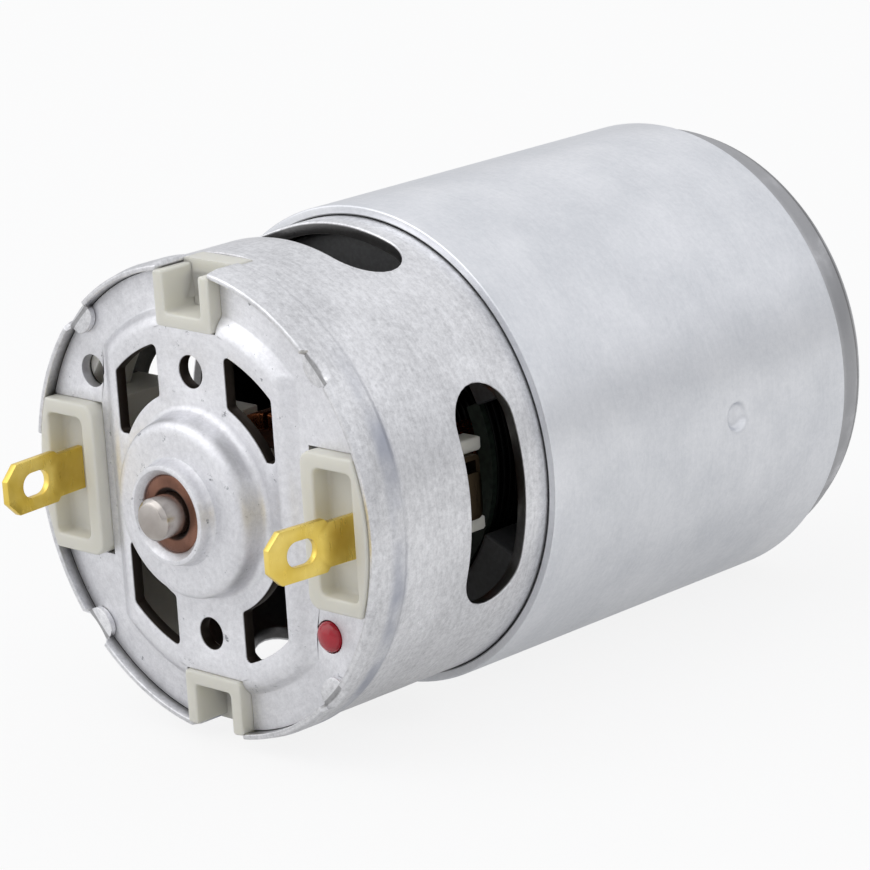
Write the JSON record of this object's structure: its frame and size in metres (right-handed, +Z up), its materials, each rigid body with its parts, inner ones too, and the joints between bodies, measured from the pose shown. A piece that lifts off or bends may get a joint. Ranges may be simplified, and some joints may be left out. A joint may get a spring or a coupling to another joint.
{
  "type": "brushed dc motor",
  "caption": "Brushed direct-current motor in a steel can with a flux sleeve, vented end plate, solder tabs, sprung carbon brushes and a plain round output shaft.",
  "frame": {"origin": "centre of the front mounting face, on the shaft axis", "axes": "+Y along the shaft, out of the output end; -Y out of the terminal end; +Z up, with the terminals left (-X) and right (+X)"},
  "size_m": [0.0374, 0.0786, 0.0374],
  "materials": {
    "zinc_plated_steel": "satin zinc plate on pressed sheet steel",
    "zinc_plated_sleeve": "fine matt zinc plate on a rolled steel sleeve",
    "ferrite": "dark grey pressed ferrite",
    "spring_steel": "bright spring steel",
    "red_paint": "glossy red paint drop",
    "nylon": "milky translucent moulded nylon",
    "brass": "plain stamped brass",
    "carbon": "copper-graphite brush carbon",
    "sintered_bronze": "oil-filled sintered bronze",
    "ground_steel": "ground steel",
    "silicon_steel": "dark stacked electrical sheet",
    "fibre": "dark green insulating fibre",
    "enamelled_copper": "glossy enamelled copper wire",
    "phenolic": "brown phenolic moulding",
    "copper": "bare turned copper",
    "nylon_spacer": "natural nylon",
    "washer_fibre": "brown fibre washer"
  },
  "bodies": {
    "stator": {"can": "zinc_plated_steel", "flux_ring": "zinc_plated_sleeve", "magnet_upper": "ferrite", "magnet_lower": "ferrite", "magnet_clips": "spring_steel", "end_plate": "zinc_plated_steel", "polarity_mark": "red_paint", "brush_holder": "nylon", "terminal_left": "brass", "terminal_right": "brass", "brush_box_left": "brass", "brush_box_right": "brass", "brush_spring_left": "spring_steel", "brush_spring_right": "spring_steel", "rear_bearing": "sintered_bronze", "rear_bearing_retainer": "spring_steel", "front_bearing": "sintered_bronze", "front_bearing_retainer": "spring_steel"},
    "rotor": {"shaft": "ground_steel", "lamination_stack": "silicon_steel", "end_insulators": "fibre", "coil_1": "enamelled_copper", "coil_2": "enamelled_copper", "coil_3": "enamelled_copper", "commutator_hub": "phenolic", "commutator_segments": "copper", "rear_spacer": "nylon_spacer", "rear_washers": "washer_fibre", "front_spacer": "nylon_spacer", "front_washers": "washer_fibre"},
    "left_brush": {"brush_left": "carbon"},
    "right_brush": {"brush_right": "carbon"}
  },
  "joints": [
    {"name": "rotor_spin", "type": "hinge", "parent": "stator", "child": "rotor", "pos_m": [0, 0, 0], "axis": [0, 1, 0], "continuous": true},
    {"name": "left_brush_slide", "type": "slide", "parent": "stator", "child": "left_brush", "axis": [-1, 0, 0], "range_m": [0, 0.0015], "stiffness_N_per_m": 400, "springref_m": -0.002, "deforming": ["brush_spring_left"]},
    {"name": "right_brush_slide", "type": "slide", "parent": "stator", "child": "right_brush", "axis": [1, 0, 0], "range_m": [0, 0.0015], "stiffness_N_per_m": 400, "springref_m": -0.002, "deforming": ["brush_spring_right"]}
  ]
}
